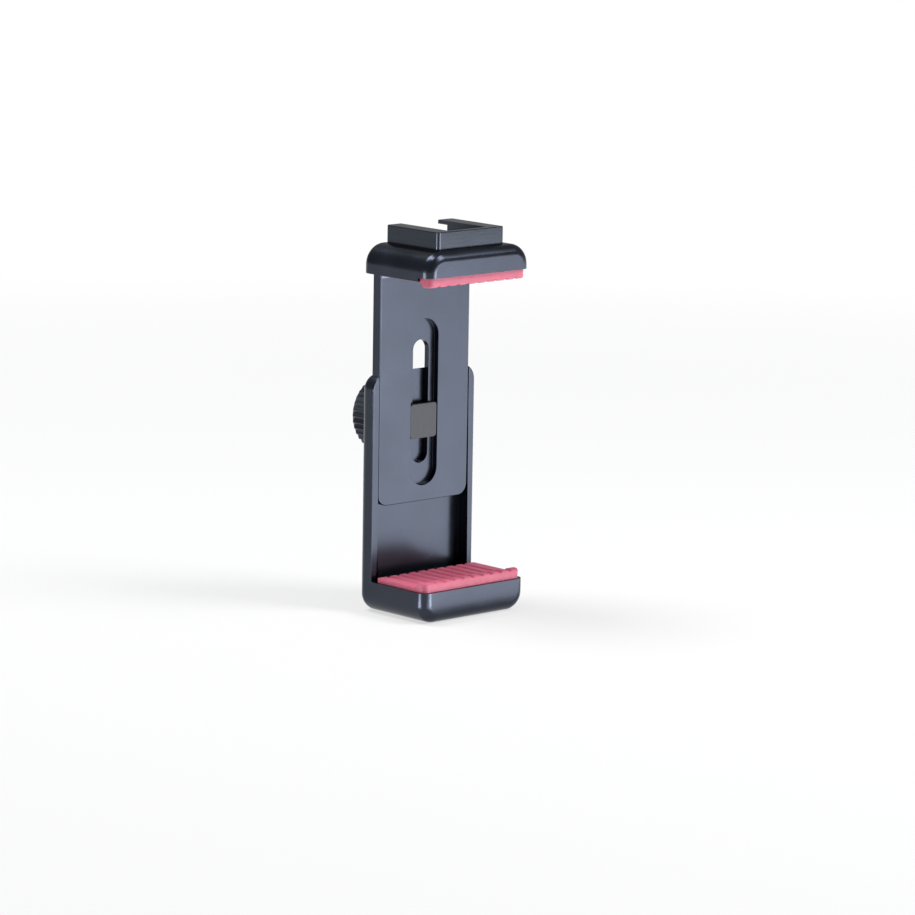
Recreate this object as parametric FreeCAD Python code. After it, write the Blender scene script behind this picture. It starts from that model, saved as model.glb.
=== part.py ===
import FreeCAD, Part
import math
import os

from FreeCAD import Vector

# A phone clamp that screws onto a tripod. The lower jaw carries the tripod socket and a
# channel that stands up behind the phone. The upper jaw hangs on an arm that slides in
# this channel, and a knob at the back locks it. An accessory shoe sits on the upper jaw.
# X runs across the clamp, +Y to its back, +Z up. The origin is the mouth of the tripod
# socket in the lower jaw's bottom face. All sizes are in millimetres.

# Jaws
jaw_width = 34.0
jaw_depth = 24.8
lower_jaw_height = 7.85
lower_corner_radius = 4.6
upper_jaw_height = 6.35
upper_corner_radius = 5.3
rim_radius = 2.6
root_radius = 1.2
skirt_width = 0.7
skirt_drop = 1.0
edge_break = 0.3

# Grip: the pads stand a phone's width apart, and the jaw slides to phones 58 to 84 mm wide
phone_width = 75.7
travel_down = 17.7
travel_up = 8.3

# Sliding arm and the channel that guides it
channel_wall = 2.0
channel_floor = 1.9
channel_rise = 52.0
channel_corner_radius = 4.0
arm_thickness = 3.0
arm_corner_radius = 3.0
arm_end_gap = 1.0
slot_edge_break = 0.2
slide_clearance = 0.1

# Clamping bolt, an M5 with a flat square head that runs in a track of the arm
bolt_radius = 2.5
bolt_pitch = 0.8
bolt_hole_clearance = 0.25
bolt_below_channel_top = 13.0
bolt_head_width = 8.8
bolt_head_thickness = 1.3
bolt_head_sink = 0.1
bolt_head_corner = 0.8
bolt_tip_length = 0.7

# Knob and the stack behind the channel
boss_radius = 8.0
boss_rise = 1.0
friction_washer_radius = 7.2
friction_washer_thickness = 0.8
thrust_washer_radius = 6.6
thrust_washer_thickness = 1.0
washer_bore_clearance = 0.1
knob_radius = 9.5
knob_flutes = 36
knob_flute_depth = 0.55
knob_rim_chamfer = 0.9
knob_hub_radius = 7.6
knob_hub_length = 0.8
knob_turns = 1.5
knob_insert_radius = 4.6
knob_insert_length = 5.0
thread_clearance = 0.05
stop_ring_radius = 3.9
stop_ring_thickness = 0.7
stop_ring_gap = 0.1
stop_ring_slot = 1.4
knob_cap_radius = 6.4
knob_cap_thickness = 1.2
knob_cap_dish = 0.35
tip_to_cap_gap = 0.4
press_gap = 0.03

# Silicone pads
pad_inset = 0.8
pad_thickness = 1.2
lip_height = 2.4
lip_crest = 2.6
lip_slope_run = 0.6
lip_round = 0.5
pad_back_gap = 0.4
pad_gap = 0.1
tooth_pitch = 3.17
tooth_groove_width = 1.4
tooth_groove_depth = 0.5

# Accessory shoe for a standard 18.6 mm foot, and its four screws
shoe_width = 22.0
shoe_length = 19.1
shoe_height = 4.3
shoe_setback = 3.5
shoe_floor = 1.2
shoe_slot_width = 18.8
shoe_slot_height = 2.1
shoe_mouth_width = 12.6
shoe_front_wall = 1.6
shoe_corner_radius = 0.8
shoe_edge_break = 0.2
shoe_screw_spacing_x = 8.0
shoe_screw_spacing_y = 10.0
shoe_screw_radius = 1.0
shoe_screw_head_radius = 1.9
shoe_screw_head_height = 1.0
shoe_screw_length = 4.2
shoe_screw_socket = 1.3
shoe_screw_socket_depth = 0.7
shoe_screw_tip_gap = 0.5

# Tripod socket, a steel bush with a 1/4 inch thread, modelled at its minor radius
socket_radius = 2.6
socket_body_radius = 4.7
socket_flange_radius = 6.0
socket_flange_height = 1.0
socket_length = 6.0

# Places that follow from the sizes
front = -jaw_depth / 2
back = jaw_depth / 2
side = jaw_width / 2
lower_top = lower_jaw_height
upper_bottom = lower_top + phone_width + 2 * pad_thickness
upper_top = upper_bottom + upper_jaw_height

channel_top = lower_top + channel_rise
channel_floor_y = back - channel_floor
arm_back = channel_floor_y - slide_clearance
arm_front = arm_back - arm_thickness
arm_half = side - channel_wall - slide_clearance
arm_bottom = lower_top + travel_down + arm_end_gap

bolt_z = channel_top - bolt_below_channel_top
track_depth = bolt_head_sink + bolt_head_thickness + slide_clearance
track_half = bolt_head_width / 2 + slide_clearance
track_run_on = bolt_head_width / 2 - bolt_head_corner
slot_half = bolt_radius + slide_clearance
head_front = arm_front + bolt_head_sink
head_back = head_front + bolt_head_thickness

boss_back = back + boss_rise
friction_washer_back = boss_back + friction_washer_thickness
knob_front = friction_washer_back + thrust_washer_thickness
knob_travel = bolt_pitch * knob_turns
insert_back = knob_front + knob_insert_length
ring_front = insert_back + knob_travel + stop_ring_gap
ring_back = ring_front + stop_ring_thickness
bolt_tip = ring_back + bolt_tip_length
cap_front = bolt_tip + tip_to_cap_gap
knob_back = cap_front + knob_cap_thickness
washer_bore = bolt_radius + washer_bore_clearance

pad_half = side - pad_inset
pad_front = front + pad_inset
pad_back = arm_front - root_radius - pad_back_gap
crest_back = pad_front + lip_crest
slope_back = crest_back + lip_slope_run

skirt_bottom = upper_bottom - skirt_drop
skirt_front = slope_back + pad_gap
pocket_back = pad_back + pad_gap
pocket_half = side - skirt_width

shoe_front = front + shoe_setback
shoe_back = shoe_front + shoe_length
shoe_centre_y = (shoe_front + shoe_back) / 2
shoe_top = upper_top + shoe_height
shoe_floor_top = upper_top + shoe_floor

X = Vector(1, 0, 0)
Y = Vector(0, 1, 0)
Z = Vector(0, 0, 1)
OVERRUN = 2.0
TINY = 1e-4


def box(x0, x1, y0, y1, z0, z1):
    """A block between two corners."""
    return Part.makeBox(x1 - x0, y1 - y0, z1 - z0, Vector(x0, y0, z0))


def rod_y(radius, y0, y1, x, z):
    """A round bar along Y."""
    return Part.makeCylinder(radius, y1 - y0, Vector(x, y0, z), Y)


def rod_z(radius, z0, z1, x, y):
    """A round bar along Z."""
    return Part.makeCylinder(radius, z1 - z0, Vector(x, y, z0), Z)


def edges_in(shape, low, high):
    """The edges that lie wholly inside the block from low to high."""
    room = FreeCAD.BoundBox(low[0] - TINY, low[1] - TINY, low[2] - TINY,
                            high[0] + TINY, high[1] + TINY, high[2] + TINY)
    return [edge for edge in shape.Edges if room.isInside(edge.BoundBox)]


def rim(shape, y, z0, z1, open_z=None):
    """The edges of an outline in the plane at y, leaving out its straight edge at open_z."""
    edges = edges_in(shape, (-side, y, z0), (side, y, z1))
    if open_z is None:
        return edges
    return [edge for edge in edges
            if edge.BoundBox.ZLength > TINY or abs(edge.CenterOfMass.z - open_z) > TINY]


def upright_slab(half, y0, y1, z0, z1, low_radius, high_radius):
    """A block whose corners are rounded as seen from the front."""
    slab = box(-half, half, y0, y1, z0, z1)
    for z, radius in ((z0, low_radius), (z1, high_radius)):
        if radius > 0:
            corners = edges_in(slab, (-half, y0, z), (-half, y1, z))
            corners += edges_in(slab, (half, y0, z), (half, y1, z))
            slab = slab.makeFillet(radius, corners)
    return slab


def long_hole(radius, y0, y1, z0, z1):
    """A slot's tool with round ends, along Z between two centres."""
    tool = box(-radius, radius, y0, y1, z0, z1)
    tool = tool.fuse(rod_y(radius, y0, y1, 0, z0))
    return tool.fuse(rod_y(radius, y0, y1, 0, z1)).removeSplitter()


def make_lower_jaw():
    """Lower jaw with the upright channel behind it, milled from one L-shaped bar."""
    corner = min(lower_corner_radius, lower_jaw_height - edge_break)
    jaw = upright_slab(side, front, back, 0, lower_top, corner, 0)
    plate = upright_slab(side, arm_front, back, 0, channel_top, corner, channel_corner_radius)
    plate = plate.makeChamfer(edge_break, rim(plate, arm_front, 0, channel_top))
    body = jaw.fuse(plate).removeSplitter()
    rims = rim(body, front, 0, lower_top, lower_top) + rim(body, back, 0, channel_top)
    body = body.makeFillet(rim_radius, rims)

    groove = box(-side + channel_wall, side - channel_wall, front, channel_floor_y,
                 lower_top, channel_top + OVERRUN)
    body = body.cut(groove)
    boss = rod_y(boss_radius, channel_floor_y, boss_back, 0, bolt_z)
    boss = boss.makeChamfer(edge_break, edges_at_end(boss, boss_back))
    body = body.fuse(boss)
    bolt_hole_radius = bolt_radius + bolt_hole_clearance
    body = body.cut(rod_y(bolt_hole_radius, arm_front, boss_back + OVERRUN, 0, bolt_z))

    body = body.cut(rod_z(socket_body_radius + press_gap, -OVERRUN, socket_length, 0, 0))
    body = body.cut(rod_z(socket_flange_radius + press_gap, -OVERRUN, socket_flange_height, 0, 0))
    return body.removeSplitter()


def edges_at_end(bar, y):
    """The round edge where a bar along Y ends at y."""
    return [edge for edge in bar.Edges
            if edge.BoundBox.YLength < TINY and abs(edge.CenterOfMass.y - y) < TINY]


def make_upper_jaw():
    """Upper jaw with its sliding arm, milled from one L-shaped bar.

    Low skirts at its two sides cover the ends of the pad, which lies in a pocket between them.
    """
    corner = min(upper_corner_radius, upper_jaw_height - edge_break)
    jaw = upright_slab(side, front, back, skirt_bottom, upper_top, 0, corner)
    rims = rim(jaw, front, skirt_bottom, upper_top, skirt_bottom)
    rims += rim(jaw, back, skirt_bottom, upper_top, skirt_bottom)
    jaw = jaw.makeFillet(rim_radius, rims)
    jaw = jaw.cut(box(-side - OVERRUN, side + OVERRUN, front - OVERRUN, skirt_front,
                      skirt_bottom - OVERRUN, upper_bottom))
    jaw = jaw.cut(box(-pocket_half, pocket_half, front - OVERRUN, pocket_back,
                      skirt_bottom - OVERRUN, upper_bottom))

    arm_top = skirt_bottom + edge_break
    arm = upright_slab(arm_half, arm_front, arm_back, arm_bottom, arm_top, arm_corner_radius, 0)
    arm_rims = rim(arm, arm_front, arm_bottom, arm_top, arm_top)
    arm_rims += rim(arm, arm_back, arm_bottom, arm_top, arm_top)
    arm = arm.makeChamfer(edge_break, arm_rims)
    body = jaw.fuse(arm).removeSplitter()
    root = edges_in(body, (-arm_half, arm_front, skirt_bottom), (arm_half, arm_front, skirt_bottom))
    body = body.makeFillet(root_radius, root)

    slot_low = bolt_z - travel_up
    slot_high = bolt_z + travel_down
    body = body.cut(long_hole(slot_half, arm_front - OVERRUN, arm_back + OVERRUN, slot_low, slot_high))
    track_low = slot_low - track_run_on
    track_high = slot_high + track_run_on
    track = long_hole(track_half, arm_front - OVERRUN, arm_front + track_depth, track_low, track_high)
    body = body.cut(track).removeSplitter()
    mouth = edges_in(body, (-track_half, arm_front, track_low - track_half),
                     (track_half, arm_front, track_high + track_half))
    body = body.makeChamfer(slot_edge_break, mouth)

    hole_bottom = shoe_floor_top - shoe_screw_length - shoe_screw_tip_gap
    for x, y in shoe_screw_places():
        body = body.cut(rod_z(shoe_screw_radius + thread_clearance, hole_bottom,
                              upper_top + OVERRUN, x, y))
    return body.removeSplitter()


def make_pad(up):
    """A ribbed silicone pad with a lip at the front, on the lower (up = 1) or upper jaw."""
    outline = [(pad_front, lip_height), (crest_back, lip_height), (slope_back, pad_thickness),
               (pad_back, pad_thickness), (pad_back, 0), (pad_front, 0)]
    points = [Vector(-pad_half, y, z) for y, z in outline]
    pad = Part.Face(Part.makePolygon(points + points[:1])).extrude(X * (2 * pad_half))

    plan = box(-pad_half, pad_half, pad_front, pad_back, 0, lip_height)
    uprights = []
    for x in (-pad_half, pad_half):
        uprights += edges_in(plan, (x, pad_front, 0), (x, pad_front, lip_height))
    pad = pad.common(plan.makeFillet(max(rim_radius - pad_inset, edge_break), uprights))
    crest = edges_in(pad, (-pad_half, pad_front, lip_height), (pad_half, crest_back, lip_height))
    pad = pad.makeFillet(lip_round, crest)

    grooves = int((2 * pad_half - tooth_groove_width) / tooth_pitch)
    first = -(grooves - 1) * tooth_pitch / 2
    floor = pad_thickness - tooth_groove_depth
    for i in range(grooves):
        pad = pad.cut(pad_groove(first + i * tooth_pitch, floor))
    pad = pad.removeSplitter()

    if up > 0:
        pad.translate(Vector(0, 0, lower_top))
    else:
        pad = pad.mirror(Vector(0, 0, 0), Z)
        pad.translate(Vector(0, 0, upper_bottom))
    return pad


def pad_groove(x, floor):
    """One V-shaped groove from front to back that follows the pad's face down the lip."""
    half = tooth_groove_width / 2
    rise = lip_height - pad_thickness
    stations = ((pad_front - OVERRUN, floor + rise), (crest_back, floor + rise),
                (slope_back, floor), (pad_back + OVERRUN, floor))
    opening = half * (1 + OVERRUN / tooth_groove_depth)
    wires = []
    for y, z in stations:
        low = Vector(x, y, z)
        left = Vector(x - opening, y, z + tooth_groove_depth + OVERRUN)
        right = Vector(x + opening, y, z + tooth_groove_depth + OVERRUN)
        wires.append(Part.makePolygon([low, left, right, low]))
    tool = None
    for near, far in zip(wires, wires[1:]):
        piece = Part.makeLoft([near, far], True, True)
        tool = piece if tool is None else tool.fuse(piece)
    return tool


def make_socket():
    """The steel bush that takes the tripod's screw."""
    bush = rod_z(socket_body_radius, 0, socket_length, 0, 0)
    bush = bush.fuse(rod_z(socket_flange_radius, 0, socket_flange_height, 0, 0))
    bush = bush.cut(rod_z(socket_radius, -OVERRUN, socket_length + OVERRUN, 0, 0))
    return bush.removeSplitter()


def make_shoe():
    """Accessory shoe with a closed front wall, a slot under two lips and an open back."""
    half = shoe_width / 2
    shoe = box(-half, half, shoe_front, shoe_back, upper_top, shoe_top)
    corners = []
    for x in (-half, half):
        for y in (shoe_front, shoe_back):
            corners += edges_in(shoe, (x, y, upper_top), (x, y, shoe_top))
    shoe = shoe.makeFillet(shoe_corner_radius, corners)
    top_rim = edges_in(shoe, (-half, shoe_front, shoe_top), (half, shoe_back, shoe_top))
    shoe = shoe.makeChamfer(shoe_edge_break, top_rim)

    slot_front = shoe_front + shoe_front_wall
    slot_half_width = shoe_slot_width / 2
    mouth_half = shoe_mouth_width / 2
    slot_top = shoe_floor_top + shoe_slot_height
    slot = box(-slot_half_width, slot_half_width, slot_front, shoe_back + OVERRUN,
               shoe_floor_top, slot_top)
    mouth = box(-mouth_half, mouth_half, slot_front, shoe_back + OVERRUN,
                shoe_floor_top, shoe_top + OVERRUN)
    shoe = shoe.cut(slot).cut(mouth)
    for x, y in shoe_screw_places():
        shoe = shoe.cut(screw_body(x, y, thread_clearance))
    return shoe.removeSplitter()


def shoe_screw_places():
    """The four screws' centres, as seen from above."""
    places = []
    for y in (-shoe_screw_spacing_y / 2, shoe_screw_spacing_y / 2):
        for x in (-shoe_screw_spacing_x / 2, shoe_screw_spacing_x / 2):
            places.append((x, shoe_centre_y + y))
    return places


def screw_body(x, y, gap):
    """A countersunk screw's outside, larger by a gap where it is used as a tool."""
    top = shoe_floor_top
    head = Part.makeCone(shoe_screw_radius + gap, shoe_screw_head_radius + gap, shoe_screw_head_height,
                         Vector(x, y, top - shoe_screw_head_height), Z)
    shank = rod_z(shoe_screw_radius + gap, top - shoe_screw_length, top, x, y)
    return head.fuse(shank).removeSplitter()


def make_shoe_screw(x, y):
    """A countersunk screw with a hexagon socket."""
    screw = screw_body(x, y, 0)
    across_corners = shoe_screw_socket / math.cos(math.pi / 6) / 2
    corners = []
    for i in range(6):
        angle = math.radians(60 * i)
        corners.append(Vector(x + across_corners * math.cos(angle),
                              y + across_corners * math.sin(angle),
                              shoe_floor_top - shoe_screw_socket_depth))
    socket = Part.Face(Part.makePolygon(corners + corners[:1])).extrude(Z * OVERRUN)
    return screw.cut(socket)


def make_bolt():
    """Clamping bolt: a square head in the arm's track and a round shank to the back."""
    half = bolt_head_width / 2
    head = box(-half, half, head_front, head_back, bolt_z - half, bolt_z + half)
    corners = []
    for x in (-half, half):
        for z in (bolt_z - half, bolt_z + half):
            corners += edges_in(head, (x, head_front, z), (x, head_back, z))
    head = head.makeChamfer(bolt_head_corner, corners)
    head = head.makeChamfer(slot_edge_break, rim(head, head_front, bolt_z - half, bolt_z + half))
    bolt = head.fuse(rod_y(bolt_radius, head_back, bolt_tip, 0, bolt_z))
    groove = rod_y(bolt_radius + OVERRUN, ring_front, ring_back, 0, bolt_z)
    groove = groove.cut(rod_y(bolt_radius - stop_ring_thickness, ring_front, ring_back, 0, bolt_z))
    bolt = bolt.cut(groove)
    return bolt.makeChamfer(edge_break, edges_at_end(bolt, bolt_tip)).removeSplitter()


def make_washer(radius, y0, y1):
    """A plain washer on the bolt."""
    washer = rod_y(radius, y0, y1, 0, bolt_z)
    return washer.cut(rod_y(washer_bore, y0 - OVERRUN, y1 + OVERRUN, 0, bolt_z))


def make_knob():
    """Fluted knob, bored right through for its threaded insert and closed by a cap."""
    hub_back = knob_front + knob_hub_length
    flutes = []
    for i in range(knob_flutes):
        for step, radius in ((0, knob_radius), (0.5, knob_radius - knob_flute_depth)):
            angle = 2 * math.pi * (i + step) / knob_flutes
            flutes.append(Vector(radius * math.sin(angle), hub_back, bolt_z + radius * math.cos(angle)))
    rim = Part.Face(Part.makePolygon(flutes + flutes[:1])).extrude(Y * (knob_back - hub_back))

    small = knob_radius - knob_rim_chamfer
    outline = [(0, hub_back), (small, hub_back), (knob_radius, hub_back + knob_rim_chamfer),
               (knob_radius, knob_back - knob_rim_chamfer), (small, knob_back), (0, knob_back)]
    points = [Vector(radius, y, bolt_z) for radius, y in outline]
    envelope = Part.Face(Part.makePolygon(points + points[:1])).revolve(Vector(0, 0, bolt_z), Y, 360)
    knob = rim.common(envelope)

    knob = knob.fuse(rod_y(knob_hub_radius, knob_front, hub_back, 0, bolt_z))
    knob = knob.cut(rod_y(knob_insert_radius + press_gap, knob_front - OVERRUN, knob_back + OVERRUN,
                          0, bolt_z))
    knob = knob.cut(rod_y(knob_cap_radius + press_gap, cap_front, knob_back + OVERRUN, 0, bolt_z))
    return knob.removeSplitter()


def make_knob_insert():
    """Threaded steel bush in the knob, modelled with a plain bore that runs on the bolt."""
    bush = rod_y(knob_insert_radius, knob_front, insert_back, 0, bolt_z)
    return bush.cut(rod_y(bolt_radius + thread_clearance, knob_front - OVERRUN, insert_back + OVERRUN,
                          0, bolt_z))


def make_stop_ring():
    """Open retaining ring in the bolt's groove, so the knob can't be unscrewed and lost."""
    inner = bolt_radius - stop_ring_thickness + thread_clearance
    ring = rod_y(stop_ring_radius, ring_front, ring_back, 0, bolt_z)
    ring = ring.cut(rod_y(inner, ring_front - OVERRUN, ring_back + OVERRUN, 0, bolt_z))
    gap = box(-stop_ring_slot / 2, stop_ring_slot / 2, ring_front - OVERRUN, ring_back + OVERRUN,
              bolt_z - stop_ring_radius - OVERRUN, bolt_z)
    return ring.cut(gap)


def make_knob_cap():
    """Round cover with a shallow dish that closes the knob's bore."""
    cap = rod_y(knob_cap_radius, cap_front, knob_back, 0, bolt_z)
    rim_width = knob_cap_dish
    dish = Part.makeCone(knob_cap_radius - 2 * rim_width, knob_cap_radius - rim_width, knob_cap_dish,
                         Vector(0, knob_back - knob_cap_dish, bolt_z), Y)
    return cap.cut(dish)


def main():
    pieces = {
        "lower_jaw": make_lower_jaw(),
        "lower_pad": make_pad(1),
        "tripod_socket": make_socket(),
        "upper_jaw": make_upper_jaw(),
        "upper_pad": make_pad(-1),
        "cold_shoe": make_shoe(),
        "clamp_bolt": make_bolt(),
        "friction_washer": make_washer(friction_washer_radius, boss_back, friction_washer_back),
        "thrust_washer": make_washer(thrust_washer_radius, friction_washer_back, knob_front),
        "knob": make_knob(),
        "knob_insert": make_knob_insert(),
        "stop_ring": make_stop_ring(),
        "knob_cap": make_knob_cap(),
    }
    for number, (x, y) in enumerate(shoe_screw_places(), start=1):
        pieces["shoe_screw_%d" % number] = make_shoe_screw(x, y)

    os.makedirs("parts", exist_ok=True)
    for name, shape in pieces.items():
        shape.exportStep("parts/%s.step" % name)
        print("%-16s %d solid, %8.1f mm3, valid %s"
              % (name, len(shape.Solids), shape.Volume, shape.isValid()))


main()
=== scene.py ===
# %% [markdown]
# # A clamp mount for a tripod
# This clamp holds a slim device between two metal jaws lined with silicone. The lower jaw screws
# onto a tripod, the upper jaw slides up and down on an arm, and a small shoe on top takes an
# accessory. The solid model gives every size and place, so it is loaded first and stays fixed.
# Each piece is then made again with smoother curves and a real finish, in the same place.

# %% Load the solid model
import math

import bmesh
import bpy
from mathutils import Matrix, Vector


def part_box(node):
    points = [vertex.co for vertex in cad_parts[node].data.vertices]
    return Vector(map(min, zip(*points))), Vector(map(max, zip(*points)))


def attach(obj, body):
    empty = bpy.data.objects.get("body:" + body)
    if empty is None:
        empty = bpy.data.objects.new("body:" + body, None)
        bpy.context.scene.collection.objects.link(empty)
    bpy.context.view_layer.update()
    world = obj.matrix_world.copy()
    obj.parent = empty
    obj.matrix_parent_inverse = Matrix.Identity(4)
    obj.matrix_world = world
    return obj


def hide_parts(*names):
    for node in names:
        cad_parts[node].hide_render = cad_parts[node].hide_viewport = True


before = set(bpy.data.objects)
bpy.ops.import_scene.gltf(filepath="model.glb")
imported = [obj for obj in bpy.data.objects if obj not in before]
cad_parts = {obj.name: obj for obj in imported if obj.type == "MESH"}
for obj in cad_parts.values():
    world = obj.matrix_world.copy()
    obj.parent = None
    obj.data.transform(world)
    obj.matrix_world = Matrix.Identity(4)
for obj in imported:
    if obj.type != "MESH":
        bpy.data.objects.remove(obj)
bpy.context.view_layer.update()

# %% [markdown]
# ## Working in millimetres
# Blender counts in metres, and a clamp is easier to think about in millimetres. So each mesh is
# built in millimetres, and one function shrinks it to metres when it is finished. The sizes come
# from the corners of the solid pieces, so both models always agree.

# %% Sizes read from the solid pieces
MM = 0.001
NEAR = 0.01


def corners_mm(node):
    """The lowest and highest corner of a solid piece, in millimetres."""
    low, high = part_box(node)
    return low / MM, high / MM


JAW_LOW, JAW_HIGH = corners_mm("upper_jaw")
_, BASE_HIGH = corners_mm("lower_jaw")
PAD_LOW, PAD_HIGH = corners_mm("lower_pad")
UPPER_PAD_LOW, UPPER_PAD_HIGH = corners_mm("upper_pad")
SHOE_LOW, SHOE_HIGH = corners_mm("cold_shoe")
KNOB_LOW, KNOB_HIGH = corners_mm("knob")

SIDE = JAW_HIGH.x
FRONT = JAW_LOW.y
BACK = JAW_HIGH.y
JAW_BOTTOM = UPPER_PAD_HIGH.z
BASE_TOP = PAD_LOW.z
BOLT_Z = (KNOB_LOW.z + KNOB_HIGH.z) / 2
print("jaws %.1f x %.1f mm, %.1f mm apart" % (2 * SIDE, BACK - FRONT, JAW_BOTTOM - BASE_TOP))

# %% [markdown]
# ## Small modelling helpers
# Most pieces start as a block or as a profile that is spun round an axis. A block gets its
# rounded corners from the bevel operator, edge by edge, much as a milling cutter would give
# them. The helpers below only give these steps short names.

# %% Blocks, edges and bevels


def block(low, high):
    """A block between two corners."""
    bm = bmesh.new()
    bmesh.ops.create_cube(bm, size=1)
    low, high = Vector(low), Vector(high)
    bmesh.ops.scale(bm, vec=high - low, verts=bm.verts)
    bmesh.ops.translate(bm, vec=(low + high) / 2, verts=bm.verts)
    return bm


def edges_where(bm, test):
    """The edges whose two ends both pass a test."""
    return [edge for edge in bm.edges if all(test(vert.co) for vert in edge.verts)]


def bevel(bm, edges, width, segments):
    """Rounds edges by a width, with a round profile."""
    bmesh.ops.bevel(bm, geom=edges, offset=width, offset_type="OFFSET", segments=segments,
                    profile=0.5, affect="EDGES", clamp_overlap=False, material=-1)


def near(a, b):
    return abs(a - b) < NEAR


# %% [markdown]
# ## Cutting and joining
# Slots, holes and bosses are cut out of a piece or joined to it with the Boolean modifier. It
# works on objects, so a helper puts both meshes into the scene for a moment, reads the result
# and clears them away. Its exact solver copes with faces that lie in one plane. Points that end up
# almost in one place are merged, and a tiny hole that this leaves is filled. A cutting tool runs on
# a little past the piece, so that no thin skin is left.

# %% Boolean helper
OVERRUN = 1


def combine(bm, tool, operation):
    """The bmesh after a tool is cut out of it (DIFFERENCE) or joined to it (UNION)."""
    objects = []
    for source in (bm, tool):
        mesh = bpy.data.meshes.new("scratch")
        source.to_mesh(mesh)
        source.free()
        objects.append(bpy.data.objects.new("scratch", mesh))
        bpy.context.scene.collection.objects.link(objects[-1])
    body, cutter = objects
    modifier = body.modifiers.new("combine", "BOOLEAN")
    modifier.operation = operation
    modifier.solver = "EXACT"
    modifier.object = cutter
    depsgraph = bpy.context.evaluated_depsgraph_get()
    result_mesh = bpy.data.meshes.new_from_object(body.evaluated_get(depsgraph))
    result = bmesh.new()
    result.from_mesh(result_mesh)
    for item in objects:
        bpy.data.objects.remove(item)
    bmesh.ops.remove_doubles(result, verts=result.verts, dist=NEAR / 10)
    bmesh.ops.holes_fill(result, edges=[edge for edge in result.edges if edge.is_boundary], sides=8)
    return result


# %% [markdown]
# ## Turned pieces and long holes
# Washers, bushes and screws are turned on a lathe. The same thing in Blender is a few points of
# the profile, joined by edges, and the spin operator. A full spin merges its last step with its
# first. A slot with round ends is a block whose corners are bevelled by almost half its width, so
# that the two arcs at an end don't quite meet.

# %% Lathe and slot helpers
ALMOST_ROUND = 0.999
Y_AXIS = Vector((0, 1, 0))
Z_AXIS = Vector((0, 0, 1))


def turned(profile, axis, centre, steps=72):
    """A closed profile of (radius, place along the axis) points, spun round Y or Z."""
    bm = bmesh.new()
    centre = Vector(centre)
    outward = Vector((1, 0, 0))
    verts = [bm.verts.new(centre + outward * radius + axis * along) for radius, along in profile]
    for start, end in zip(verts, verts[1:] + verts[:1]):
        bm.edges.new((start, end))
    bmesh.ops.spin(bm, geom=bm.verts[:] + bm.edges[:], axis=axis, cent=centre,
                   angle=math.radians(360), steps=steps, use_merge=True)
    bmesh.ops.remove_doubles(bm, verts=bm.verts, dist=NEAR / 10)
    bmesh.ops.delete(bm, geom=[edge for edge in bm.edges if edge.is_wire], context="EDGES")
    bmesh.ops.recalc_face_normals(bm, faces=bm.faces)
    return bm


def rod(radius, start, end, axis, centre, chamfer=0.0):
    """A solid round bar along Y or Z, with its end broken at the far side if asked."""
    profile = [(0, start), (radius, start), (radius, end - chamfer), (radius - chamfer, end),
               (0, end)]
    if chamfer == 0:
        profile.pop(3)
    return turned(profile, axis, centre)


def long_hole(radius, y0, y1, z0, z1):
    """The tool for a slot with round ends, upright between two centres."""
    bm = block((-radius, y0, z0 - radius), (radius, y1, z1 + radius))
    ends = edges_where(bm, lambda p: True)
    ends = [edge for edge in ends if not near(edge.verts[0].co.y, edge.verts[1].co.y)]
    bevel(bm, ends, radius * ALMOST_ROUND, 14)
    return bm


# %% [markdown]
# ## Finishing a piece
# A finished piece is shrunk to metres, and its faces are smooth wherever two of them meet at a
# small angle. The Weighted Normal modifier lets the large flat faces decide the shading next to
# them, so a milled face stays flat up to its rounded edge. A Bevel modifier before it breaks the
# sharp edges by about a tenth of a millimetre, because no real edge is perfectly sharp, and a
# broken edge catches a thin line of light. The piece then stands for its solid one and moves with
# the same part of the clamp.

# %% Finish helper
SMOOTH_BELOW = math.radians(32)
MILLED_EDGE = 0.12
MATERIALS = {}


def finish_piece(name, bm, node, body, slot, finish=None, edge_mm=0.0):
    """Puts a mesh made in millimetres into the scene, in place of its solid piece."""
    bmesh.ops.scale(bm, vec=(MM, MM, MM), verts=bm.verts)
    mesh = bpy.data.meshes.new(name)
    bm.to_mesh(mesh)
    bm.free()
    mesh.polygons.foreach_set("use_smooth", [True] * len(mesh.polygons))
    mesh.set_sharp_from_angle(angle=SMOOTH_BELOW)
    piece = bpy.data.objects.new(name, mesh)
    bpy.context.scene.collection.objects.link(piece)
    if edge_mm > 0:
        edges = piece.modifiers.new("broken edges", "BEVEL")
        edges.width = edge_mm * MM
        edges.segments = 2
        edges.limit_method = "ANGLE"
        edges.angle_limit = SMOOTH_BELOW
    normals = piece.modifiers.new("flat faces stay flat", "WEIGHTED_NORMAL")
    normals.keep_sharp = True
    normals.weight = 60
    mesh.materials.append(MATERIALS[finish or slot])
    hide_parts(node)
    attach(piece, body)
    print("%s: %d faces" % (name, len(mesh.polygons)))


# %% [markdown]
# ## Colours and nodes
# Colours are picked as sRGB hex values, the way a paint program shows them, but a shader works
# in linear light. One function does that conversion. Another adds a node with its settings and
# its links, which keeps each material short enough to read in one go.

# %% Colour and node helpers


def linear(hex_colour):
    """An sRGB hex colour as linear RGBA."""
    parts = [int(hex_colour[i:i + 2], 16) / 255 for i in (1, 3, 5)]
    return [v / 12.92 if v <= 0.04045 else ((v + 0.055) / 1.055) ** 2.4 for v in parts] + [1.0]


def add_node(tree, kind, settings, inputs):
    """Adds a node, with its settings, and its inputs as values or as links."""
    node = tree.nodes.new(kind)
    for name, value in settings.items():
        setattr(node, name, value)
    for name, value in inputs.items():
        if isinstance(value, bpy.types.NodeSocket):
            tree.links.new(value, node.inputs[name])
        else:
            node.inputs[name].default_value = value
    return node


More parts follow.
